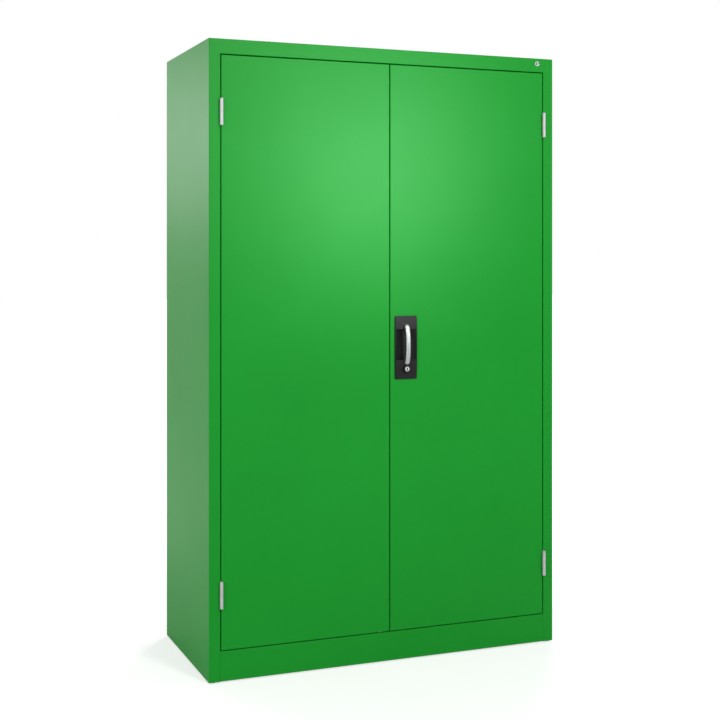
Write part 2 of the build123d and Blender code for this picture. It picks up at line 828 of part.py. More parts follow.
# ---- locking rods ---------------------------------------------------------------
def locking_rod(side, end):
    """Flat rod with its rack; side is where it passes the pinion, end its free end."""
    start = lock_z - side * (teeth_behind * gear_pitch)
    bar = block(
        sorted((handle_x + side * rod_near, handle_x + side * rod_far)),
        (rod_layer, rod_layer + rod_thickness),
        sorted((start, end)),
    )
    half = (gear_pitch / 2 - tooth_thinning) / 2
    slope = math.tan(pressure_angle)
    at_tip, at_root = half - rack_addendum * slope, half + gear_dedendum * slope
    for number in range(-teeth_behind, teeth_ahead):
        level = lock_z + side * (number + 0.5) * gear_pitch
        tip_x, root_x = handle_x + side * rack_tip, handle_x + side * rod_near
        outline = Polyline(
            (tip_x, level - at_tip),
            (root_x, level - at_root),
            (root_x + side * half, level - at_root),
            (root_x + side * half, level + at_root),
            (root_x, level + at_root),
            (tip_x, level + at_tip),
            close=True,
        )
        bar += slab(make_face(outline), (rod_layer, rod_layer + rod_thickness))
    return bar


def rod_guide(side, level):
    """Plastic block on the door face that a rod slides through."""
    middle = handle_x + side * (rod_near + rod_far) / 2
    guide = block(
        (middle - guide_width / 2, middle + guide_width / 2),
        (sheet, layer_back + guide_cover),
        (level - guide_height / 2, level + guide_height / 2),
    )
    half = rod_width / 2 + slide_play
    return guide - block(
        (middle - half, middle + half),
        (layer_front, layer_back),
        (level - guide_height, level + guide_height),
    )


def rod_guides():
    """Two guides for each rod."""
    upper = [door_top - guide_end_inset, lock_z + guide_lock_inset]
    lower = [door_bottom + guide_end_inset, lock_z - guide_lock_inset]
    return [rod_guide(1, level) for level in upper] + [rod_guide(-1, level) for level in lower]


# ---- shoot bolts ----------------------------------------------------------------
def knob_level():
    """Height of the knob of the upper bolt, midway along its bracket."""
    return door_top - (bracket_near + bracket_far) / 2


def shoot_bolt():
    """Round bolt at the top of the left-hand door, drawn back."""
    end = door_top - rod_short
    bolt = post(-bolt_x, bolt_layer, (end - bolt_length, end), bolt_radius)
    bolt = chamfer(bolt.edges().filter_by(GeomType.CIRCLE), sheet)
    reach = (bolt_layer - bolt_radius / 2, bolt_layer + 2 * bolt_radius)
    return bolt - spindle(-bolt_x, knob_level(), reach, knob_neck_radius + seat_play)


def bolt_knob():
    """Knob screwed into the bolt."""
    start = bolt_layer - bolt_radius / 2
    neck_end = bolt_layer + bolt_radius + knob_neck
    neck = spindle(-bolt_x, knob_level(), (start, neck_end), knob_neck_radius)
    head = spindle(-bolt_x, knob_level(), (neck_end, neck_end + knob_length), knob_radius)
    return neck + fillet(head.edges().filter_by(GeomType.CIRCLE), knob_edge)


def bolt_bracket():
    """Bracket on the door face with two ears that guide the bolt."""
    half = bracket_width / 2
    x = (-bolt_x - half, -bolt_x + half)
    low, high = door_top - bracket_far, door_top - bracket_near
    bracket = block(x, (sheet, sheet + bracket_sheet), (low, high))
    for start in (low, high - bracket_sheet):
        bracket += block(x, (sheet, sheet + bracket_depth), (start, start + bracket_sheet))
    return bracket - post(-bolt_x, bolt_layer, (low - overcut, high + overcut), bolt_radius + bolt_play)


# ---- all the pieces ---------------------------------------------------------------
def main():
    """Build every sub-part and write it."""
    write("top_panel", top_panel())
    write("base_panel", base_panel())
    write("back_panel", back_panel())
    write("badge_plate", badge_plate())
    stop = door_stop()
    write("door_stop_top", stop)
    write("door_stop_bottom", upside_down(stop, plate_z))
    write("stop_buffers", stop_buffers())
    for side_name, side in (("left", -1), ("right", 1)):
        write(f"side_panel_{side_name}", on_side(side_panel(), side))
        write(f"stiffener_{side_name}", on_side(stiffener(), side))
        write(f"upright_front_{side_name}", on_side(upright(upright_front), side))
        write(f"upright_rear_{side_name}", on_side(upright(upright_rear), side))
        write(f"foot_front_{side_name}", on_side(foot(False), side))
        write(f"foot_rear_{side_name}", on_side(foot(True), side))
        for end_name, level in hinge_levels.items():
            frame_half = on_side(hinge_half(level, False), side)
            door_half = on_side(hinge_half(level, True), side)
            write(f"frame_hinge_{side_name}_{end_name}", frame_half)
            write(f"door_hinge_{side_name}_{end_name}", door_half)
    corners = [(side, rear) for side in (-1, 1) for rear in (False, True)]
    write("corner_gussets", [on_side(gusset(rear), side) for side, rear in corners])
    write("foot_nuts", [on_side(foot_nut(rear), side) for side, rear in corners])
    pins = [on_side(hinge_pin(z), side) for side in (-1, 1) for z in hinge_levels.values()]
    write("hinge_pins", pins)
    for number in range(shelf_count):
        write(f"shelf_{number + 1}", shelf(number))
    write("shelf_clips", shelf_clips())
    write("door_left", door_left())
    write("door_right", door_right())
    write("handle_plate", handle_plate())
    write("bow_handle", bow_handle())
    write("bow_screws", [bow_screw(z) for z in bow_screw_levels()])
    write("lock_housing", lock_housing())
    write("lock_nut", lock_nut())
    write("lock_case", lock_case())
    write("lock_case_cover", lock_case_cover())
    write("lock_case_screws", [case_screw(x, z) for x, z in case_screw_places()])
    write("lock_plug", lock_plug())
    write("lock_pinion", lock_pinion())
    write("lock_cam", lock_cam())
    write("cam_screw", cam_screw())
    write("rod_upper", locking_rod(1, door_top - rod_short))
    write("rod_lower", locking_rod(-1, door_bottom + rod_short))
    write("rod_guides", rod_guides())
    for end_name, bottom in (("top", False), ("bottom", True)):
        for name, piece in (
            ("shoot_bolt", shoot_bolt()),
            ("bolt_knob", bolt_knob()),
            ("bolt_bracket", bolt_bracket()),
        ):
            write(f"{name}_{end_name}", upside_down(piece, plate_z) if bottom else piece)


main()
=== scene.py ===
import json
import math

import bmesh
import bpy
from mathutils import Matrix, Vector


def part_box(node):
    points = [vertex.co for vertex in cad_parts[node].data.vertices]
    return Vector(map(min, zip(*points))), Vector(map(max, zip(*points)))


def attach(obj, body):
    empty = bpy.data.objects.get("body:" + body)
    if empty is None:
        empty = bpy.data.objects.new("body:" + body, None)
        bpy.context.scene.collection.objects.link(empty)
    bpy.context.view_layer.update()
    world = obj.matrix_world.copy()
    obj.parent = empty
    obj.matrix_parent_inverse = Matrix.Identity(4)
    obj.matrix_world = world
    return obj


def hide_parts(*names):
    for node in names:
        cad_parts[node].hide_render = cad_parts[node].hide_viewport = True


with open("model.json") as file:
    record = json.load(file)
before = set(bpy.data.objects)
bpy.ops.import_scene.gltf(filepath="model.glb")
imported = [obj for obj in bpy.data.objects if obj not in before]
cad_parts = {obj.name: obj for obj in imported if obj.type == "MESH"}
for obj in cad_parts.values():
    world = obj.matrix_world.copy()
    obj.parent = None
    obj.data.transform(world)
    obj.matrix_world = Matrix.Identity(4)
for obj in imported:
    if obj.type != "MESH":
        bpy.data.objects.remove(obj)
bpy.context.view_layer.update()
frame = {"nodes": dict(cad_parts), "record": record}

MM = 0.001
NODES = frame["nodes"]
BODY_OF = {
    node: body for body, nodes in frame["record"]["behaviour"]["bodies"].items() for node in nodes
}
SLOT_OF = {part["node"]: part["material_slot"] for part in frame["record"]["subparts"]}

FRONT_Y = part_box("door_left")[0].y  # outer face of doors and stiles
SIDE_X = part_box("side_panel_right")[1].x  # outer face of the right side
PLATE_RISE = 6.5 * MM  # face of the handle plate in front of the door
PLATE_CROWN = 3.0 * MM  # fall of that face at its top and bottom
SHANK_SINK = 0.2 * MM  # screw shanks start this far inside their heads
SAME_PLACE = 0.001 * MM  # points closer than this are one
CREASE = math.radians(38.0)  # sharper edges than this stay crisp
FACING_BACK = (math.radians(-90.0), 0.0, 0.0)  # turns an upright piece backwards
FACING_FRONT = (math.radians(90.0), 0.0, 0.0)
WHITE = (1.0, 1.0, 1.0)
COOL_WHITE = (0.98, 0.99, 1.13)


def middle_of(node):
    """Middle of a node's box."""
    low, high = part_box(node)
    return (low + high) / 2.0


# ---- camera and lamps ----------------------------------------------------------------


def stand_camera():
    """Level camera left of the cabinet, with the lens shifted to keep its edges upright."""
    lens = bpy.data.cameras.new("studio_camera")
    lens.sensor_width = 36.0
    lens.lens = 60.87
    lens.shift_x = 0.1075
    lens.shift_y = -0.1468
    lens.dof.use_dof = False
    camera = bpy.data.objects.new("studio_camera", lens)
    camera.location = (-1.6525, -3.7595, 1.2967)
    camera.rotation_euler = (math.radians(90.0), 0.0, math.radians(-20.093))
    bpy.context.scene.collection.objects.link(camera)
    bpy.context.scene.camera = camera


def aim(lamp, place, target):
    """Put a lamp at a place and turn it towards a target."""
    lamp.location = place
    lamp.rotation_euler = (Vector(target) - Vector(place)).to_track_quat("-Z", "Y").to_euler()
    lamp.visible_camera = False
    bpy.context.scene.collection.objects.link(lamp)


def softbox(name, place, target, size, power):
    """Rectangular softbox; size is its width and height."""
    light = bpy.data.lights.new(name, "AREA")
    light.shape = "RECTANGLE"
    light.size, light.size_y = size
    light.energy = power
    aim(bpy.data.objects.new(name, light), place, target)


def gridded_head(name, place, target, cone, radius, power):
    """Round head with a grid, brightest in the middle of its cone."""
    light = bpy.data.lights.new(name, "SPOT")
    light.color = COOL_WHITE
    light.spot_size = math.radians(cone)
    light.spot_blend = 1.0
    light.shadow_soft_size = radius
    light.energy = power
    aim(bpy.data.objects.new(name, light), place, target)


# ---- shader maths --------------------------------------------------------------------


class Signal:
    """A socket of a node tree; sums, products and differences of it add Math nodes."""

    def __init__(self, tree, socket):
        self.tree = tree
        self.socket = socket

    def node(self, kind, settings=None, inputs=None, output=0):
        """Add a node with its settings, then fill its sockets, and return one output."""
        node = self.tree.nodes.new(kind)
        for name, value in (settings or {}).items():
            setattr(node, name, value)
        for name, value in (inputs or {}).items():
            if isinstance(value, Signal):
                self.tree.links.new(value.socket, node.inputs[name])
            else:
                node.inputs[name].default_value = value
        return Signal(self.tree, node.outputs[output])

    def math(self, operation, *values):
        """A Math node on signals or numbers."""
        return self.node("ShaderNodeMath", {"operation": operation}, dict(enumerate(values)))

    def __add__(self, other):
        return self.math("ADD", self, other)

    def __sub__(self, other):
        return self.math("SUBTRACT", self, other)

    def __rsub__(self, other):
        return self.math("SUBTRACT", other, self)

    def __mul__(self, other):
        return self.math("MULTIPLY", self, other)

    __radd__ = __add__
    __rmul__ = __mul__

    def stretched(self, scale):
        """The same coordinates, scaled."""
        return self.node("ShaderNodeMapping", None, {"Vector": self, "Scale": scale})

    def along(self, axis):
        """One coordinate of these: 0 for x, 1 for y and 2 for z."""
        return self.node("ShaderNodeSeparateXYZ", None, {0: self}, axis)

    def length(self):
        """Distance of these coordinates from the origin."""
        value_out = 1
        return self.node("ShaderNodeVectorMath", {"operation": "LENGTH"}, {0: self}, value_out)

    def from_axis(self, centre):
        """Distance from the line that runs front to back through a centre."""
        flat = self.node(
            "ShaderNodeMapping",
            {"vector_type": "POINT"},
            {"Vector": self, "Location": (-centre.x, 0.0, -centre.z), "Scale": (1.0, 0.0, 1.0)},
        )
        return flat.length()

    def noise(self, scale, detail=2.0, roughness=0.5):
        """Cloudy noise from 0 to 1; scale is its lumps for each metre."""
        return self.node(
            "ShaderNodeTexNoise",
            None,
            {"Vector": self, "Scale": scale, "Detail": detail, "Roughness": roughness},
        )

    def cells(self, scale, feature="F1", output=0):
        """Cells; output 0 is a distance in them, and 1 a colour for each."""
        return self.node(
            "ShaderNodeTexVoronoi", {"feature": feature}, {"Vector": self, "Scale": scale}, output
        )

    def between(self, low, high, start, end):
        """start below low, end above high, and a smooth change between them."""
        return self.node(
            "ShaderNodeMapRange",
            {"interpolation_type": "SMOOTHSTEP"},
            {"Value": self, "From Min": low, "From Max": high, "To Min": start, "To Max": end},
        )

    def blend(self, first, second):
        """first where this signal is 0 and second where it is 1; both are colours."""
        factor, colour_a, colour_b, colour_out = 0, 6, 7, 2
        sockets = {factor: self, colour_a: first, colour_b: second}
        return self.node("ShaderNodeMix", {"data_type": "RGBA"}, sockets, colour_out)

    def mottled(self, first, second):
        """Two colours, mixed over the range where a noise has most of its values."""
        return self.between(0.3, 0.7, 0.0, 1.0).blend(first, second)

    def turning_marks(self, tightness):
        """Fine waves from 0 to 1 along this distance, in radians for each metre."""
        return (self * tightness).math("SINE") * 0.5 + 0.5

    def bump(self, height, strength=1.0):
        """Normal for this height signal, which spans the given height in metres."""
        return self.node(
            "ShaderNodeBump", None, {"Height": self, "Distance": height, "Strength": strength}
        )


def finish(name, metallic=0.0, specular=0.5):
    """New material; returns it with its shader and its object coordinates."""
    material = bpy.data.materials.new(name)
    material.use_nodes = True
    tree = material.node_tree
    shader = tree.nodes["Principled BSDF"]
    shader.inputs["Metallic"].default_value = metallic
    shader.inputs["Specular IOR Level"].default_value = specular
    place = tree.nodes.new("ShaderNodeTexCoord")
    return material, shader, Signal(tree, place.outputs["Object"])


def wire(shader, **surface):
    """Feed the surface's signals to the shader, such as Base_Color=signal."""
    for name, signal in surface.items():
        signal.tree.links.new(signal.socket, shader.inputs[name.replace("_", " ")])


def grey(level, tint=WHITE):
    """Colour of one level, with a tint."""
    return (level * tint[0], level * tint[1], level * tint[2], 1.0)


# ---- finishes ------------------------------------------------------------------------


def powder_coat(name, thin, thick):
    """Satin powder coat: orange peel, and a slightly deeper colour where it lies thick."""
    material, shader, place = finish(name, specular=0.17)
    film = place.noise(2.2, 3.0, 0.55)
    fleck = place.noise(1400.0, 1.0)
    peel = place.noise(420.0, 2.5, 0.6)
    wire(
        shader,
        Base_Color=(film * 0.7 + fleck * 0.3).mottled(thin, thick),
        Roughness=peel * 0.05 + film * 0.04 + 0.38,
        Normal=peel.bump(0.09 * MM, 0.6),
    )
    return material


def galvanised_sheet(name):
    """Zinc spangle: crystals of slightly different grey, each with its own shine."""
    material, shader, place = finish(name, metallic=0.75)
    spangle = 85.0
    crystal = place.node("ShaderNodeSeparateColor", None, {0: place.cells(spangle, output=1)})
    edge = place.cells(spangle, "DISTANCE_TO_EDGE").between(0.0, 0.05, 0.25, 0.0)
    cloud = place.noise(14.0, 4.0, 0.6)
    level = crystal * 0.75 + cloud * 0.25 - edge * 0.3
    wire(
        shader,
        Base_Color=level.between(0.1, 0.95, 0.0, 1.0).blend(
            grey(0.45, (0.97, 0.99, 1.0)), grey(0.63, (0.98, 0.99, 1.0))
        ),
        Roughness=crystal * 0.16 + cloud * 0.1 + 0.30,
        Normal=(crystal * 0.5 - edge).bump(0.04 * MM, 0.5),
    )
    return material


def zinc_plating(name, dull, bright, low_roughness):
    """Plated steel with drawing lines and a faint cloudiness."""
    material, shader, place = finish(name, metallic=1.0)
    lines = place.stretched((900.0, 900.0, 30.0)).noise(1.0, 3.0, 0.65)
    cloud = place.noise(60.0, 3.0, 0.55)
    wire(
        shader,
        Base_Color=(lines * 0.4 + cloud * 0.6).mottled(dull, bright),
        Roughness=lines * 0.12 + cloud * 0.08 + low_roughness,
        Normal=lines.bump(0.02 * MM, 0.35),
    )
    return material


def nickel_plating(name):
    """Matt nickel on the hinges, pale and slightly warm."""
    material, shader, place = finish(name, metallic=0.3, specular=0.3)
    blast = place.noise(1700.0, 2.0)
    cloud = place.noise(45.0, 3.0)
    wire(
        shader,
        Base_Color=(blast * 0.4 + cloud * 0.6).mottled(
            grey(0.64, (1.0, 0.94, 1.0)), grey(0.72, (1.0, 0.95, 1.0))
        ),
        Roughness=blast * 0.1 + cloud * 0.06 + 0.42,
        Normal=blast.bump(0.03 * MM, 0.4),
    )
    return material


def grained_plastic(name, low, high, grain, roughness, specular):
    """Moulded plastic with a fine leather grain."""
    material, shader, place = finish(name, specular=specular)
    pebble = place.cells(grain)
    fine = place.noise(grain * 2.4, 2.0)
    patch = place.noise(35.0, 2.0)
    hide = pebble * 0.8 + fine * 0.4
    wire(
        shader,
        Base_Color=(hide * 0.7 + patch * 0.3).between(0.2, 0.8, 0.0, 1.0).blend(low, high),
        Roughness=hide * 0.12 + patch * 0.05 + roughness,
        Normal=(1.0 - hide).bump(0.09 * MM, 0.8),
    )
    return material


def satin_casting(name):
    """Silver lacquer over a die casting, brushed along its length."""
    material, shader, place = finish(name, metallic=0.9)
    brushed = place.stretched((1600.0, 1600.0, 45.0)).noise(1.0, 3.0, 0.6)
    lacquer = place.noise(240.0, 2.0)
    wire(
        shader,
        Base_Color=(brushed * 0.5 + lacquer * 0.5).mottled(
            grey(0.68), grey(0.76, (1.0, 1.0, 0.99))
        ),
        Roughness=brushed * 0.1 + lacquer * 0.05 + 0.37,
        Normal=brushed.bump(0.015 * MM, 0.4),
    )
    return material


def satin_chrome(name):
    """Chromed lock parts with fine turning rings round the lock axis; inside the key slot, behind
    the plug face, painted shade makes them near-black.
    """
    material, shader, place = finish(name, metallic=0.75)
    rings = place.from_axis(middle_of("lock_housing")).turning_marks(9000.0)
    smear = place.noise(500.0, 2.0)
    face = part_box("lock_plug")[0].y
    # painted shade: points deeper than the plug's face, inside the key slot, turn near-black and
    # rougher
    painted_slot_shade = place.along(1).between(face + 0.1 * MM, face + 0.5 * MM, 0.0, 1.0)
    wire(
        shader,
        Base_Color=painted_slot_shade.blend(smear.mottled(grey(0.84), grey(0.92)), grey(0.012)),
        Roughness=rings * 0.05 + smear * 0.08 + painted_slot_shade * 0.4 + 0.24,
        Normal=rings.bump(0.008 * MM, 0.4),
    )
    return material


def raw_casting(name):
    """Zinc die casting as it leaves the mould, with flow marks and fine pits."""
    material, shader, place = finish(name, metallic=0.85)
    flow = place.stretched((18.0, 18.0, 60.0)).noise(1.0, 5.0, 0.62)
    pits = place.cells(900.0).between(0.0, 0.3, 1.0, 0.0)
    wire(
        shader,
        Base_Color=(flow - pits * 0.2).mottled(grey(0.36), grey(0.5)),
        Roughness=flow * 0.2 + 0.38,
        Normal=(flow - pits * 0.4).bump(0.08 * MM, 0.5),
    )
    return material


def moulded_rubber(name):
    """Matt black rubber with a dusty bloom."""
    material, shader, place = finish(name, specular=0.3)
    bloom = place.noise(160.0, 4.0, 0.65)
    grain = place.noise(1500.0, 1.0)
    wire(
        shader,
        Base_Color=bloom.between(0.35, 0.75, 0.0, 1.0).blend(grey(0.012), grey(0.035)),
        Roughness=bloom * 0.12 + 0.7,
        Normal=grain.bump(0.04 * MM, 0.6),
    )
    return material


def rimmed_disc(name):
    """Blank badge: a bright rim, and a slightly darker, warmer middle with turning marks."""
    material, shader, place = finish(name, metallic=0.5)
    radius = place.from_axis(middle_of("badge_plate"))
    rim = radius.between(4.9 * MM, 5.5 * MM, 0.0, 1.0)
    rings = radius.turning_marks(14000.0)
    smear = place.noise(600.0, 2.0)
    inside = smear.mottled(grey(0.26, (1.0, 0.84, 0.95)), grey(0.33, (1.0, 0.86, 0.96)))
    wire(
        shader,
        Base_Color=rim.blend(inside, grey(0.76)),
        Roughness=rings * 0.06 + smear * 0.1 + 0.34,
        Normal=(rings * (1.0 - rim)).bump(0.008 * MM, 0.4),
    )
    return material


FINISHES = {
    "body_paint": powder_coat(
        "powder_coat_body", (0.0095, 0.355, 0.0275, 1.0), (0.008, 0.330, 0.0245, 1.0)
    ),
    "door_paint": powder_coat(
        "powder_coat_doors", (0.0095, 0.362, 0.0280, 1.0), (0.008, 0.336, 0.0250, 1.0)
    ),
    "galvanised": galvanised_sheet("galvanised_sheet"),
    "zinc_plate": zinc_plating("bright_zinc", grey(0.55, (1.0, 1.0, 1.02)), grey(0.72), 0.24),
    "hinge_steel": nickel_plating("matt_nickel"),
    "black_plastic": grained_plastic(
        "grained_black_plastic", grey(0.005), grey(0.016), 620.0, 0.30, 0.30
    ),
    "bow_metal": satin_casting("satin_silver_casting"),
    "lock_chrome": satin_chrome("satin_chrome"),
    "case_metal": raw_casting("raw_zinc_casting"),
    "guide_plastic": grained_plastic("moulded_polyamide", grey(0.05), grey(0.09), 1100.0, 0.4, 0.5),
    "rubber": moulded_rubber("matt_rubber"),
    "badge_metal": rimmed_disc("rimmed_satin_disc"),
}


def dress_frame():
    """Give every carried-over node the finish of its slot."""
    for name, node in NODES.items():
        for place in node.material_slots:
            place.material = FINISHES[SLOT_OF[name]]


# ---- making and keeping meshes -------------------------------------------------------


def placed(name, mesh):
    """Object for a mesh, at the origin of the scene."""
    piece = bpy.data.objects.new(name, mesh)
    bpy.context.scene.collection.objects.link(piece)
    return piece


def worked_in(piece):
    """The mesh of a piece with its modifiers worked in."""
    graph = bpy.context.evaluated_depsgraph_get()
    return bpy.data.meshes.new_from_object(piece.evaluated_get(graph))


def kept(solid, name, crease=CREASE):
    """Plain closed mesh from a bmesh: doubles merged, normals outward, creases kept crisp."""
    bmesh.ops.remove_doubles(solid, verts=solid.verts, dist=SAME_PLACE)
    bmesh.ops.recalc_face_normals(solid, faces=solid.faces)
    for face in solid.faces:
        face.smooth = True
    for edge in solid.edges:
        edge.smooth = edge.is_manifold and edge.calc_face_angle() < crease
    mesh = bpy.data.meshes.new(name)
    solid.to_mesh(mesh)
    solid.free()
    return mesh


def hand_over(piece, slot, body, *nodes):
    """Give a piece its slot's finish and its body, and hide the nodes that it stands for."""
    piece.data.materials.clear()
    piece.data.materials.append(FINISHES[slot])
    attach(piece, body)
    if nodes:
        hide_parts(*nodes)


def crowned(solid):
    """Let the face of the handle plate fall back towards its top and bottom."""
    low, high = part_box("handle_plate")
    middle, half = middle_of("handle_plate").z, (high.z - low.z) / 2.0
    bands = 12  # flat strips that make the curve
    for band in range(1, bands):
        level = low.z + (high.z - low.z) * band / bands
        whole = solid.verts[:] + solid.edges[:] + solid.faces[:]
        bmesh.ops.bisect_plane(
            solid, geom=whole, plane_co=(0.0, 0.0, level), plane_no=(0.0, 0.0, 1.0)
        )
    for point in solid.verts:
        share = (FRONT_Y - point.co.y) / PLATE_RISE
        if 0.0 < share < 1.01:
            point.co.y += PLATE_CROWN * share * ((point.co.z - middle) / half) ** 2


def softened(node, radius, reshape=None):
    """A node's own shape, reshaped if asked, with its sharp edges rounded to a radius."""
    least_angle, flat_angle = math.radians(30.0), math.radians(0.4)
    solid = bmesh.new()
    solid.from_mesh(NODES[node].data)
    bmesh.ops.remove_doubles(solid, verts=solid.verts, dist=SAME_PLACE)
    if reshape:
        reshape(solid)
    else:
        bmesh.ops.dissolve_limit(
            solid, angle_limit=flat_angle, verts=solid.verts, edges=solid.edges
        )
    piece = placed(node + "_rounded", kept(solid, node + "_rounded", crease=math.pi))
    edges = piece.modifiers.new("rounded_edges", "BEVEL")
    edges.width = radius
    edges.segments = 3
    edges.limit_method = "ANGLE"
    edges.angle_limit = least_angle
    edges.use_clamp_overlap = False
    flats = piece.modifiers.new("flat_faces", "WEIGHTED_NORMAL")
    flats.keep_sharp = True
    flats.weight = 100
    mesh = worked_in(piece)
    piece.modifiers.clear()
    piece.data = mesh
    hand_over(piece, SLOT_OF[node], BODY_OF[node], node)


def turned(name, centre, axis, profile, steps=48):
    """Turned piece; the profile gives radius and distance along the axis from end to end."""
    solid = bmesh.new()
    lean = Vector((0.0, 0.0, 1.0)).rotation_difference(Vector(axis)).to_matrix()
    rings = []
    for radius, along in profile:
        ring = []
        for step in range(steps):
            angle = 2.0 * math.pi * step / steps
            spot = Vector((radius * math.cos(angle), radius * math.sin(angle), along))
            ring.append(solid.verts.new(Vector(centre) + lean @ spot))
        rings.append(ring)
    skin(solid, rings)
    return kept(solid, name)


def skin(solid, rings):
    """Quads between each closed ring of points and the next."""
    for low, high in zip(rings, rings[1:]):
        for step in range(len(low)):
            after = (step + 1) % len(low)
            solid.faces.new((low[step], low[after], high[after], high[step]))


# ---- rules for what repeats ----------------------------------------------------------


def new_rule(name, sizes):
    """Geometry Nodes tree with named sizes; returns it with its inputs as signals."""
    tree = bpy.data.node_groups.new(name, "GeometryNodeTree")
    tree.interface.new_socket("Geometry", in_out="INPUT", socket_type="NodeSocketGeometry")
    tree.interface.new_socket("Geometry", in_out="OUTPUT", socket_type="NodeSocketGeometry")
    for size, kind in sizes.items():
        tree.interface.new_socket(size, in_out="INPUT", socket_type="NodeSocket" + kind)
    start = tree.nodes.new("NodeGroupInput")
    return tree, {plug.name: Signal(tree, plug) for plug in start.outputs if plug.name}


def close_rule(tree, shape, slot):
    """End a tree in Realize Instances and Set Material."""
    plain = shape.node("GeometryNodeRealizeInstances", None, {0: shape})
    covered = plain.node(
        "GeometryNodeSetMaterial", None, {"Geometry": plain, "Material": FINISHES[slot]}
    )
    tree.links.new(covered.socket, tree.nodes.new("NodeGroupOutput").inputs[0])


def ruled(name, start, tree, sizes):
    """Run a tree on a starting mesh with its sizes set, and keep the plain result."""
    seed = placed(name + "_seed", start)
    rule = seed.modifiers.new("rule", "NODES")
    rule.node_group = tree
    for plug in tree.interface.items_tree:
        if plug.in_out == "INPUT" and plug.name in sizes:
            rule[plug.identifier] = sizes[plug.name]
    result = worked_in(seed)
    bpy.data.objects.remove(seed)
    solid = bmesh.new()
    solid.from_mesh(result)
    return placed(name, kept(solid, name))


def points_mesh(name, points, chains=()):
    """Mesh of points, joined in chains of indices where a rule follows a line."""
    mesh = bpy.data.meshes.new(name)
    mesh.from_pydata(points, [pair for chain in chains for pair in zip(chain, chain[1:])], [])
    return mesh


def screw_rule(slot):
    """Pan head with a cross recess on a plain shank, at every point, facing backwards."""
    tree, size = new_rule(
        "cross_recess_screws",
        {
            "Head Radius": "Float",
            "Head Height": "Float",
            "Recess Width": "Float",
            "Recess Depth": "Float",
            "Shank Radius": "Float",
            "Shank Length": "Float",
        },
    )
    radius, height = size["Head Radius"], size["Head Height"]
    point = size["Geometry"]

    as_made = (1.0, 1.0, 1.0)
    dome_reach = radius * 1.12

    def moved(shape, scale, z):
        """The shape scaled, and moved along the screw."""
        shift = combined(point, 0.0, 0.0, z)
        return point.node(
            "GeometryNodeTransform", None, {0: shape, "Scale": scale, "Translation": shift}
        )

    ball = point.node(
        "GeometryNodeMeshUVSphere", None, {"Segments": 32, "Rings": 20, "Radius": 1.0}
    )
    dome = moved(ball, combined(point, dome_reach, dome_reach, height), 0.0)
    barrel = point.node(
        "GeometryNodeMeshCylinder", None, {"Vertices": 32, "Radius": radius, "Depth": height}
    )
    head = joined(point, "INTERSECT", dome, moved(barrel, as_made, height * 0.5))
    deep = size["Recess Depth"] * 2.0
    span = radius * 1.15
    wing = point.node(
        "GeometryNodeMeshCube", None, {"Size": combined(point, span, size["Recess Width"], deep)}
    )
    cross = point.node(
        "GeometryNodeMeshCube", None, {"Size": combined(point, size["Recess Width"], span, deep)}
    )
    head = joined(point, "DIFFERENCE", head, moved(wing, as_made, height))
    head = joined(point, "DIFFERENCE", head, moved(cross, as_made, height))
    shank = point.node(
        "GeometryNodeMeshCylinder",
        None,
        {"Vertices": 24, "Radius": size["Shank Radius"], "Depth": size["Shank Length"]},
    )
    sunk = size["Shank Length"] * -0.5 + SHANK_SINK
    screw = joined(point, "UNION", head, moved(shank, as_made, sunk))
    set_out = point.node(
        "GeometryNodeInstanceOnPoints",
        None,
        {"Points": point, "Instance": screw, "Rotation": FACING_BACK},
    )
    close_rule(tree, set_out, slot)
    return tree


def combined(start, x, y, z):
    """Vector from three numbers or signals."""
    return start.node("ShaderNodeCombineXYZ", None, {"X": x, "Y": y, "Z": z})


def joined(start, operation, first, second):
    """Boolean of two closed meshes."""
    node = start.tree.nodes.new("GeometryNodeMeshBoolean")
    node.operation = operation
    node.solver = "EXACT"
    if operation == "DIFFERENCE":
        start.tree.links.new(first.socket, node.inputs["Mesh 1"])
    else:
        start.tree.links.new(first.socket, node.inputs["Mesh 2"])
    start.tree.links.new(second.socket, node.inputs["Mesh 2"])
    return Signal(start.tree, node.outputs["Mesh"])


def weld_rule(slot):
    """Shallow round weld marks along lines, facing backwards."""
    tree, size = new_rule(
        "spot_weld_marks", {"Spacing": "Float", "Mark Radius": "Float", "Mark Height": "Float"}
    )
    line = size["Geometry"]
    path = line.node("GeometryNodeMeshToCurve", None, {0: line})
    spaced = path.node(
        "GeometryNodeResampleCurve", {"mode": "LENGTH"}, {"Curve": path, "Length": size["Spacing"]}
    )
    mark = line.node(
        "GeometryNodeMeshCone",
        None,
        {
            "Vertices": 14,
            "Radius Top": size["Mark Radius"] * 0.62,
            "Radius Bottom": size["Mark Radius"],
            "Depth": size["Mark Height"],
        },
    )
    set_out = line.node(
        "GeometryNodeInstanceOnPoints",
        None,
        {"Points": spaced, "Instance": mark, "Rotation": FACING_BACK},
    )
    close_rule(tree, set_out, slot)
    return tree


def grip_rule(slot):
    """Knob with grip ribs round its head; the knob itself is the starting mesh."""
    tree, size = new_rule(
        "grip_ribs",
        {
            "Ribs": "Int",
            "Ring Radius": "Float",
            "Rib Radius": "Float",
            "Rib Length": "Float",
            "Centre": "Vector",
        },
    )
    knob = size["Geometry"]
    ring = knob.node(
        "GeometryNodeMeshCircle", None, {"Vertices": size["Ribs"], "Radius": size["Ring Radius"]}
    )
    rib = knob.node(
        "GeometryNodeMeshCylinder",
        None,
        {"Vertices": 10, "Radius": size["Rib Radius"], "Depth": size["Rib Length"]},
    )
    ribs = knob.node("GeometryNodeInstanceOnPoints", None, {"Points": ring, "Instance": rib})
    stood = knob.node(
        "GeometryNodeTransform",
        None,
        {0: ribs, "Translation": size["Centre"], "Rotation": FACING_FRONT},
    )
    gather = tree.nodes.new("GeometryNodeJoinGeometry")
    tree.links.new(stood.socket, gather.inputs[0])
    tree.links.new(knob.socket, gather.inputs[0])
    close_rule(tree, Signal(tree, gather.outputs[0]), slot)
    return tree


# ---- pieces --------------------------------------------------------------------------


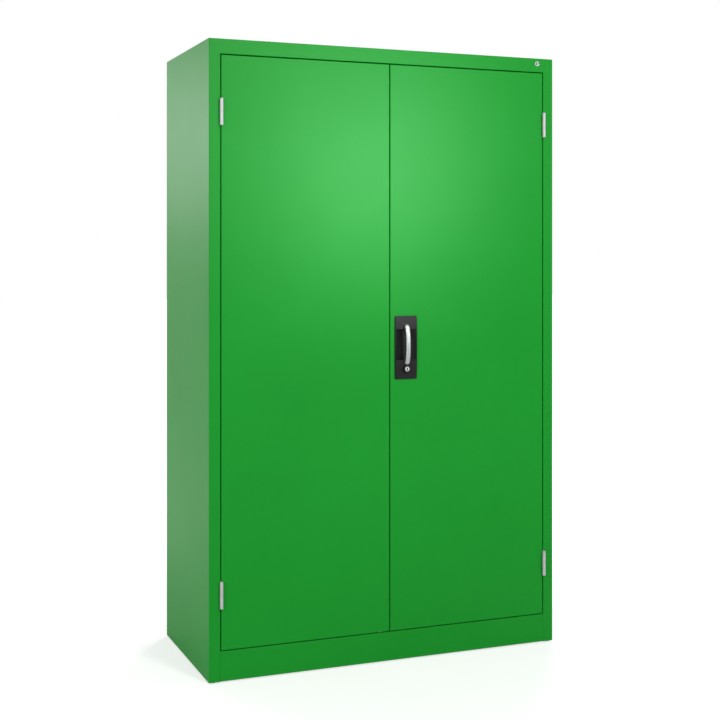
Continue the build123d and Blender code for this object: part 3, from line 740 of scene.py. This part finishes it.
def bow_bar():
    """Pull bar: slot-shaped outline, arched, with a rounded front and a foot at each end."""
    low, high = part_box("bow_handle")
    middle = middle_of("bow_handle")
    half_width = (high.x - low.x) / 2.0 + 0.5 * MM
    half_length = (high.z - low.z) / 2.0
    straight = half_length - half_width
    stations, corners = 36, 14  # steps along a side and round an end
    rise, thickness = 8.7 * MM, 8.5 * MM
    arch = (half_length**2 + rise**2) / (2.0 * rise)
    end_start, end_drop = 36.0 * MM, 3.8 * MM
    foot_start, foot_blend = 46.0 * MM, 8.0 * MM
    front_edge, front_depth, front_crown, rear_edge = 6.6 * MM, 5.4 * MM, 0.3 * MM, 2.0 * MM

    def outline(radius):
        """Points of the slot outline at a radius, as x and z from its middle."""
        points = []
        for side in (1.0, -1.0):
            for step in range(stations):
                points.append((side * radius, side * straight * (2.0 * step / stations - 1.0)))
            for step in range(corners):
                angle = math.pi * step / corners
                points.append(
                    (side * radius * math.cos(angle), side * (straight + radius * math.sin(angle)))
                )
        return points

    def front(z):
        """Front of the bar: an arch whose ends turn towards the plate."""
        end = max(0.0, abs(z) - end_start) / (half_length - end_start)
        return low.y + arch - math.sqrt(arch**2 - z**2) + end_drop * end**2

    def back(z):
        """Back of the bar, which meets the plate at the feet."""
        share = min(1.0, max(0.0, (abs(z) - foot_start) / foot_blend))
        share = share * share * (3.0 - 2.0 * share)
        bar = front(z) + thickness
        return bar + (high.y + PLATE_CROWN / 2.0 - bar) * share

    solid = bmesh.new()

    def ring(radius, surface, shift):
        """The outline at a radius, laid on the front or the back and shifted backwards."""
        return [
            solid.verts.new((middle.x + x, surface(z) + shift, middle.z + z))
            for x, z in outline(radius)
        ]

    def quarter(steps):
        """Angles of a quarter turn in even steps."""
        return [math.pi / 2.0 * step / steps for step in range(steps + 1)]

    rings = [
        ring(half_width * share, front, front_crown * share**2) for share in (0.0, 0.12, 0.22)
    ]
    for angle in quarter(8):
        radius = half_width - front_edge + front_edge * math.sin(angle)
        crown = front_crown * (radius / half_width) ** 2
        rings.append(ring(radius, front, crown + front_depth * (1.0 - math.cos(angle))))
    for angle in quarter(4):
        radius = half_width - rear_edge * (1.0 - math.cos(angle))
        rings.append(ring(radius, back, -rear_edge * (1.0 - math.sin(angle))))
    rings.append(ring(0.0, back, 0.0))
    skin(solid, rings)
    piece = placed("bow_bar", kept(solid, "bow_bar", crease=math.radians(60.0)))
    hand_over(piece, "bow_metal", "right_door", "bow_handle")


def badge_disc():
    """Plain round disc with a raised rim and a dished middle."""
    low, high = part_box("badge_plate")
    middle = middle_of("badge_plate")
    centre = (middle.x, high.y, middle.z)
    radius, proud = (high.x - low.x) / 2.0, high.y - low.y
    profile = [
        (0.0, 0.0),
        (radius, 0.0),
        (radius, proud * 0.7),
        (radius * 0.98, proud * 0.9),
        (radius * 0.94, proud),
        (radius * 0.80, proud),
        (radius * 0.76, proud * 0.86),
        (radius * 0.72, proud * 0.66),
        (radius * 0.60, proud * 0.62),
        (0.0, proud * 0.70),
    ]
    piece = placed("badge_disc", turned("badge_disc", centre, (0.0, -1.0, 0.0), profile, 64))
    hand_over(piece, "badge_metal", "cabinet", "badge_plate")


def bolt_knobs():
    """Turned knobs of the shoot bolts with grip ribs."""
    tree = grip_rule("black_plastic")
    for end in ("top", "bottom"):
        node = "bolt_knob_" + end
        low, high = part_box(node)
        middle = middle_of(node)
        length, head = high.y - low.y, 10.0 * MM
        stem, collar = 2.5 * MM, 3.6 * MM
        rib, rib_proud = 0.34 * MM, 0.35 * MM
        body = (high.x - low.x) / 2.0 - rib_proud
        profile = [
            (0.0, 0.0),
            (stem, 0.0),
            (stem, length - head - 0.8 * MM),
            (collar, length - head),
            (body - 1.3 * MM, length - head),
            (body - 0.35 * MM, length - head + 0.4 * MM),
            (body, length - head + 1.3 * MM),
            (body, length - 1.5 * MM),
            (body - 0.45 * MM, length - 0.45 * MM),
            (body - 1.5 * MM, length),
            (body - 2.2 * MM, length),
            (body - 2.6 * MM, length - 0.4 * MM),
            (0.0, length - 0.7 * MM),
        ]
        start = turned(node + "_start", (middle.x, low.y, middle.z), (0.0, 1.0, 0.0), profile)
        sizes = {
            "Ribs": 20,
            "Ring Radius": body,
            "Rib Radius": rib,
            "Rib Length": head - 3.0 * MM,
            "Centre": (middle.x, high.y - head / 2.0, middle.z),
        }
        piece = ruled(node + "_ribbed", start, tree, sizes)
        hand_over(piece, "black_plastic", BODY_OF[node], node)


def screws():
    """Bow, lock case and cam screws with a cross recess, where the nodes have their heads."""
    tree = screw_rule("zinc_plate")
    recess_width, recess_depth = 0.26, 0.62  # shares of head radius and head height
    sets = (
        # node, head radius, head height and shank radius in mm, screws across and up
        ("bow_screws", 4.4, 3.2, 2.5, 1, 2),
        ("lock_case_screws", 3.5, 2.2, 2.0, 2, 2),
        ("cam_screw", 5.0, 3.2, 2.5, 1, 1),
    )
    for node, head, rise, shank, across, up in sets:
        low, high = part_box(node)
        seat = high.y - rise * MM
        inner_x = (low.x + head * MM, high.x - head * MM)[:across]
        inner_z = (low.z + head * MM, high.z - head * MM)[:up]
        spots = [(x, seat, z) for x in inner_x for z in inner_z]
        sizes = {
            "Head Radius": head * MM,
            "Head Height": rise * MM,
            "Recess Width": head * recess_width * MM,
            "Recess Depth": rise * recess_depth * MM,
            "Shank Radius": shank * MM,
            "Shank Length": seat - low.y + SHANK_SINK,
        }
        piece = ruled(node + "_crossed", points_mesh(node + "_spots", spots), tree, sizes)
        hand_over(piece, "zinc_plate", BODY_OF[node], node)


def weld_marks():
    """Spot welds along both feet of each door stiffener."""
    tree = weld_rule("door_paint")
    sheet, foot_middle, end_gap = 1.2 * MM, 9.5 * MM, 25.0 * MM
    for side in ("left", "right"):
        low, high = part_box("stiffener_" + side)
        face = low.y + sheet
        points = []
        for x in (low.x + foot_middle, high.x - foot_middle):
            points += [(x, face, low.z + end_gap), (x, face, high.z - end_gap)]
        line = points_mesh("weld_lines_" + side, points, [(0, 1), (2, 3)])
        sizes = {"Spacing": 60.0 * MM, "Mark Radius": 2.8 * MM, "Mark Height": 0.22 * MM}
        piece = ruled("weld_marks_" + side, line, tree, sizes)
        hand_over(piece, "door_paint", side + "_door")


def soften_frame():
    """Rounded edges for the parts whose edges catch the light."""
    softened("handle_plate", 0.4 * MM, reshape=crowned)
    softened("lock_housing", 0.25 * MM)
    softened("lock_plug", 0.2 * MM)
    for side in ("left", "right"):
        for end in ("top", "bottom"):
            softened(f"door_hinge_{side}_{end}", 0.35 * MM)
            softened(f"frame_hinge_{side}_{end}", 0.35 * MM)
    for end in ("top", "bottom"):
        softened("bolt_bracket_" + end, 0.3 * MM)
    for node in ("lock_case", "lock_case_cover", "lock_cam", "lock_nut", "rod_guides"):
        softened(node, 0.3 * MM)


# ---- floor and light -----------------------------------------------------------------


def lay_floor():
    """Wide pale floor: it keeps the cabinet's shadow and turns white further off."""
    width, drop = 60.0, 0.5 * MM
    bpy.ops.mesh.primitive_plane_add(size=width, location=(0.0, 0.0, -drop))
    floor = bpy.context.object
    floor.name = "studio_floor"
    material, shader, place = finish("pale_floor")
    camera, other = direct_rays(place)
    distance = place.length()
    white = distance.between(0.6, 2.4, 0.6, 1.0)
    dim_front = place.along(1).between(-1.1, -0.15, 0.05, 1.0)
    seen = camera + other * distance.between(0.3, 2.6, 0.38, 0.80) * dim_front
    cloud = place.noise(1.5, 3.0)
    shader.inputs["Emission Strength"].default_value = 1.0
    wire(
        shader,
        Base_Color=cloud.blend(grey(0.60), grey(0.62)),
        Roughness=cloud * 0.1 + 0.85,
        Emission_Color=(seen * white).blend(grey(0.0), grey(1.0)),
    )
    floor.data.materials.append(material)


def direct_rays(start):
    """Camera rays, and the glossy and transmission rays that show the surroundings too."""
    path = start.node("ShaderNodeLightPath")
    outputs = path.socket.node.outputs
    kinds = ("Camera", "Glossy", "Transmission")
    camera, glossy, through = (Signal(path.tree, outputs[f"Is {kind} Ray"]) for kind in kinds)
    return camera, (glossy + through) * (1.0 - camera)


def light_room():
    """White surroundings behind the cabinet, a dim room in front of it, and the lamps."""
    world = bpy.data.worlds.new("studio_room")
    bpy.context.scene.world = world
    world.use_nodes = True
    tree = world.node_tree
    sky = tree.nodes["Background"]
    heading = Signal(tree, tree.nodes.new("ShaderNodeTexCoord").outputs["Generated"])
    camera, other = direct_rays(heading)
    left = heading.along(0).between(-0.75, -0.05, 1.0, 0.0)
    behind = heading.along(1).between(-0.1, 0.6, 0.0, 1.0)
    above = heading.along(2).between(-0.05, 0.6, 0.1, 0.8)
    around = left.math("MAXIMUM", left, behind.math("MAXIMUM", behind, above))
    mirrored, diffuse = 0.87, 0.33
    level = camera + other * around * mirrored + (1.0 - camera - other) * diffuse
    tree.links.new(level.socket, sky.inputs["Strength"])
    sky.inputs["Color"].default_value = grey(1.0)
    gridded_head(
        "key_head", (1.6, -4.0, 1.97), (-0.07, FRONT_Y, 1.54), cone=13.0, radius=0.3, power=386.0
    )
    gridded_head(
        "key_wash", (1.6, -4.0, 2.0), (-0.05, FRONT_Y, 1.5), cone=40.0, radius=0.5, power=95.0
    )
    softbox("high_fill", (1.0, -4.6, 3.9), (0.0, FRONT_Y, 0.8), size=(0.9, 0.8), power=114.0)
    softbox("left_fill", (-3.6, -2.4, 2.2), (0.0, FRONT_Y, 0.9), size=(1.2, 1.6), power=37.0)
    softbox("back_fill", (2.6, 3.4, 2.6), (0.3, 0.0, 0.9), size=(1.5, 1.5), power=110.0)
    softbox("rim_box", (-2.3, 3.2, 2.0), (-SIDE_X, 0.0, 1.6), size=(1.2, 0.9), power=21.0)


stand_camera()
dress_frame()
soften_frame()
bow_bar()
badge_disc()
bolt_knobs()
screws()
weld_marks()
lay_floor()
light_room()

bpy.context.scene.view_settings.view_transform = "Standard"
